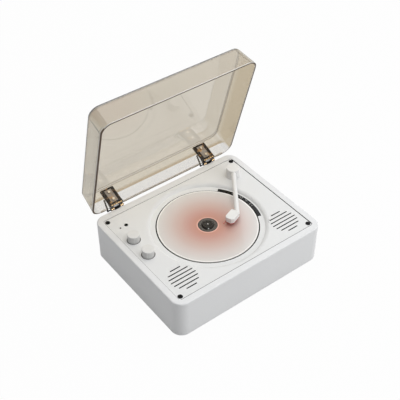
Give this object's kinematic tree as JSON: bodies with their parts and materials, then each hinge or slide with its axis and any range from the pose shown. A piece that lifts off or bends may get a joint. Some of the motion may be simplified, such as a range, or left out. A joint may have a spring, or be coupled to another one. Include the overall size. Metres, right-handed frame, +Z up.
{
  "type": "compact disc player",
  "caption": "Box-shaped disc player with a hinged clear lid, a tone arm over the disc, two knobs, slotted speaker grilles and an arc-shaped display.",
  "frame": {"origin": "on the disc's axis, in the plane of the base plate's underside; the rubber feet reach 1.5 mm below it", "axes": "+Z up along the disc's axis, +X to the right along the front edge, +Y back towards the lid's hinges"},
  "size_m": [0.21, 0.1992, 0.2199],
  "materials": {
    "white_plastic": "fine satin moulding",
    "deck_plastic": "fine satin moulding",
    "rubber": "matt",
    "black_screws": "black oxide",
    "display_glass": "gloss",
    "circuit_board": "solder mask",
    "status_lens": "gloss",
    "speaker_cloth": "woven",
    "plated_steel": "zinc plated",
    "cone_paper": "pressed paper",
    "magnet": "ferrite",
    "zinc_screws": "zinc plated",
    "control_body": "moulded",
    "steel_shafts": "ground",
    "knob_plastic": "satin",
    "chassis_plastic": "moulded",
    "hub_plastic": "satin black",
    "bright_steel": "polished",
    "disc": "printed, gloss",
    "gear_plastic": "natural acetal",
    "black_plastic": "moulded",
    "lens_glass": "clear",
    "arm_plastic": "satin gloss",
    "red_plastic": "red",
    "hinge_plastic": "smoked brown gloss",
    "dark_wire": "dark",
    "smoked_clear": "clear smoked, polished"
  },
  "bodies": {
    "root": {"housing": "white_plastic", "deck_panel": "deck_plastic", "base_plate": "white_plastic", "rubber_feet": "rubber", "deck_screws": "black_screws", "base_screws": "black_screws", "display_window": "display_glass", "display_board": "circuit_board", "remote_window": "display_glass", "status_light": "status_lens", "left_grille_cloth": "speaker_cloth", "right_grille_cloth": "speaker_cloth", "left_speaker_frame": "plated_steel", "right_speaker_frame": "plated_steel", "left_speaker_cone": "cone_paper", "right_speaker_cone": "cone_paper", "left_speaker_magnet": "magnet", "right_speaker_magnet": "magnet", "speaker_screws": "zinc_screws", "volume_pot": "control_body", "tuning_pot": "control_body", "chassis": "chassis_plastic", "chassis_grommets": "rubber", "chassis_screws": "zinc_screws", "spindle_motor": "plated_steel", "sled_rails": "steel_shafts", "sled_motor": "plated_steel", "main_board": "circuit_board", "board_chips": "black_plastic", "board_screws": "zinc_screws", "usb_socket": "bright_steel", "audio_jack": "black_plastic", "arm_bush": "arm_plastic", "hinge_brackets": "hinge_plastic", "bracket_screws": "zinc_screws"},
    "lid": {"lid": "smoked_clear", "hinge_leaves": "hinge_plastic", "hinge_clamps": "hinge_plastic", "hinge_screws": "bright_steel", "hinge_pins": "dark_wire"},
    "platter": {"platter_hub": "hub_plastic", "spindle": "steel_shafts", "hub_pad": "rubber", "hub_balls": "bright_steel", "disc": "disc"},
    "tone_arm": {"arm_turret": "arm_plastic", "arm_shaft": "steel_shafts", "arm_tube": "arm_plastic", "headshell": "arm_plastic", "stylus_pad": "red_plastic"},
    "volume_control": {"volume_knob": "knob_plastic", "volume_shaft": "steel_shafts"},
    "tuning_control": {"tuning_knob": "knob_plastic", "tuning_shaft": "steel_shafts"},
    "pickup": {"laser_pickup": "black_plastic", "pickup_lens": "lens_glass"},
    "sled_gear": {"sled_gear": "gear_plastic"},
    "sled_pinion": {"sled_pinion": "gear_plastic", "sled_motor_shaft": "steel_shafts"}
  },
  "joints": [
    {"name": "lid_hinge", "type": "hinge", "parent": "root", "child": "lid", "pos_m": [0, 0.0876, 0.0514], "axis": [1, 0, 0], "range_deg": [0, 74.4]},
    {"name": "platter_spin", "type": "hinge", "parent": "root", "child": "platter", "pos_m": [0, 0, 0.045], "axis": [0, 0, 1], "continuous": true},
    {"name": "arm_swing", "type": "hinge", "parent": "root", "child": "tone_arm", "pos_m": [0.078, 0.0495, 0.055], "axis": [0, 0, 1], "range_deg": [-2, 38]},
    {"name": "volume_turn", "type": "hinge", "parent": "root", "child": "volume_control", "pos_m": [-0.0844, 0.0299, 0.055], "axis": [0, 0, 1], "range_deg": [-150, 150]},
    {"name": "tuning_turn", "type": "hinge", "parent": "root", "child": "tuning_control", "pos_m": [-0.0844, 0.0006, 0.055], "axis": [0, 0, 1], "range_deg": [-150, 150]},
    {"name": "sled_slide", "type": "slide", "parent": "root", "child": "pickup", "axis": [0, -1, 0], "range_m": [0, 0.035]},
    {"name": "gear_turn", "type": "hinge", "parent": "root", "child": "sled_gear", "pos_m": [-0.0205, -0.03, 0.038], "axis": [0, 0, 1], "range_deg": [-510, 510]},
    {"name": "pinion_turn", "type": "hinge", "parent": "root", "child": "sled_pinion", "pos_m": [-0.0345, -0.03, 0.037], "axis": [0, 0, 1], "range_deg": [-1270, 1270]}
  ],
  "couplings": [
    {"joint": "gear_turn", "follows": "sled_slide", "rad_per_m": -250},
    {"joint": "pinion_turn", "follows": "sled_slide", "rad_per_m": 625}
  ]
}
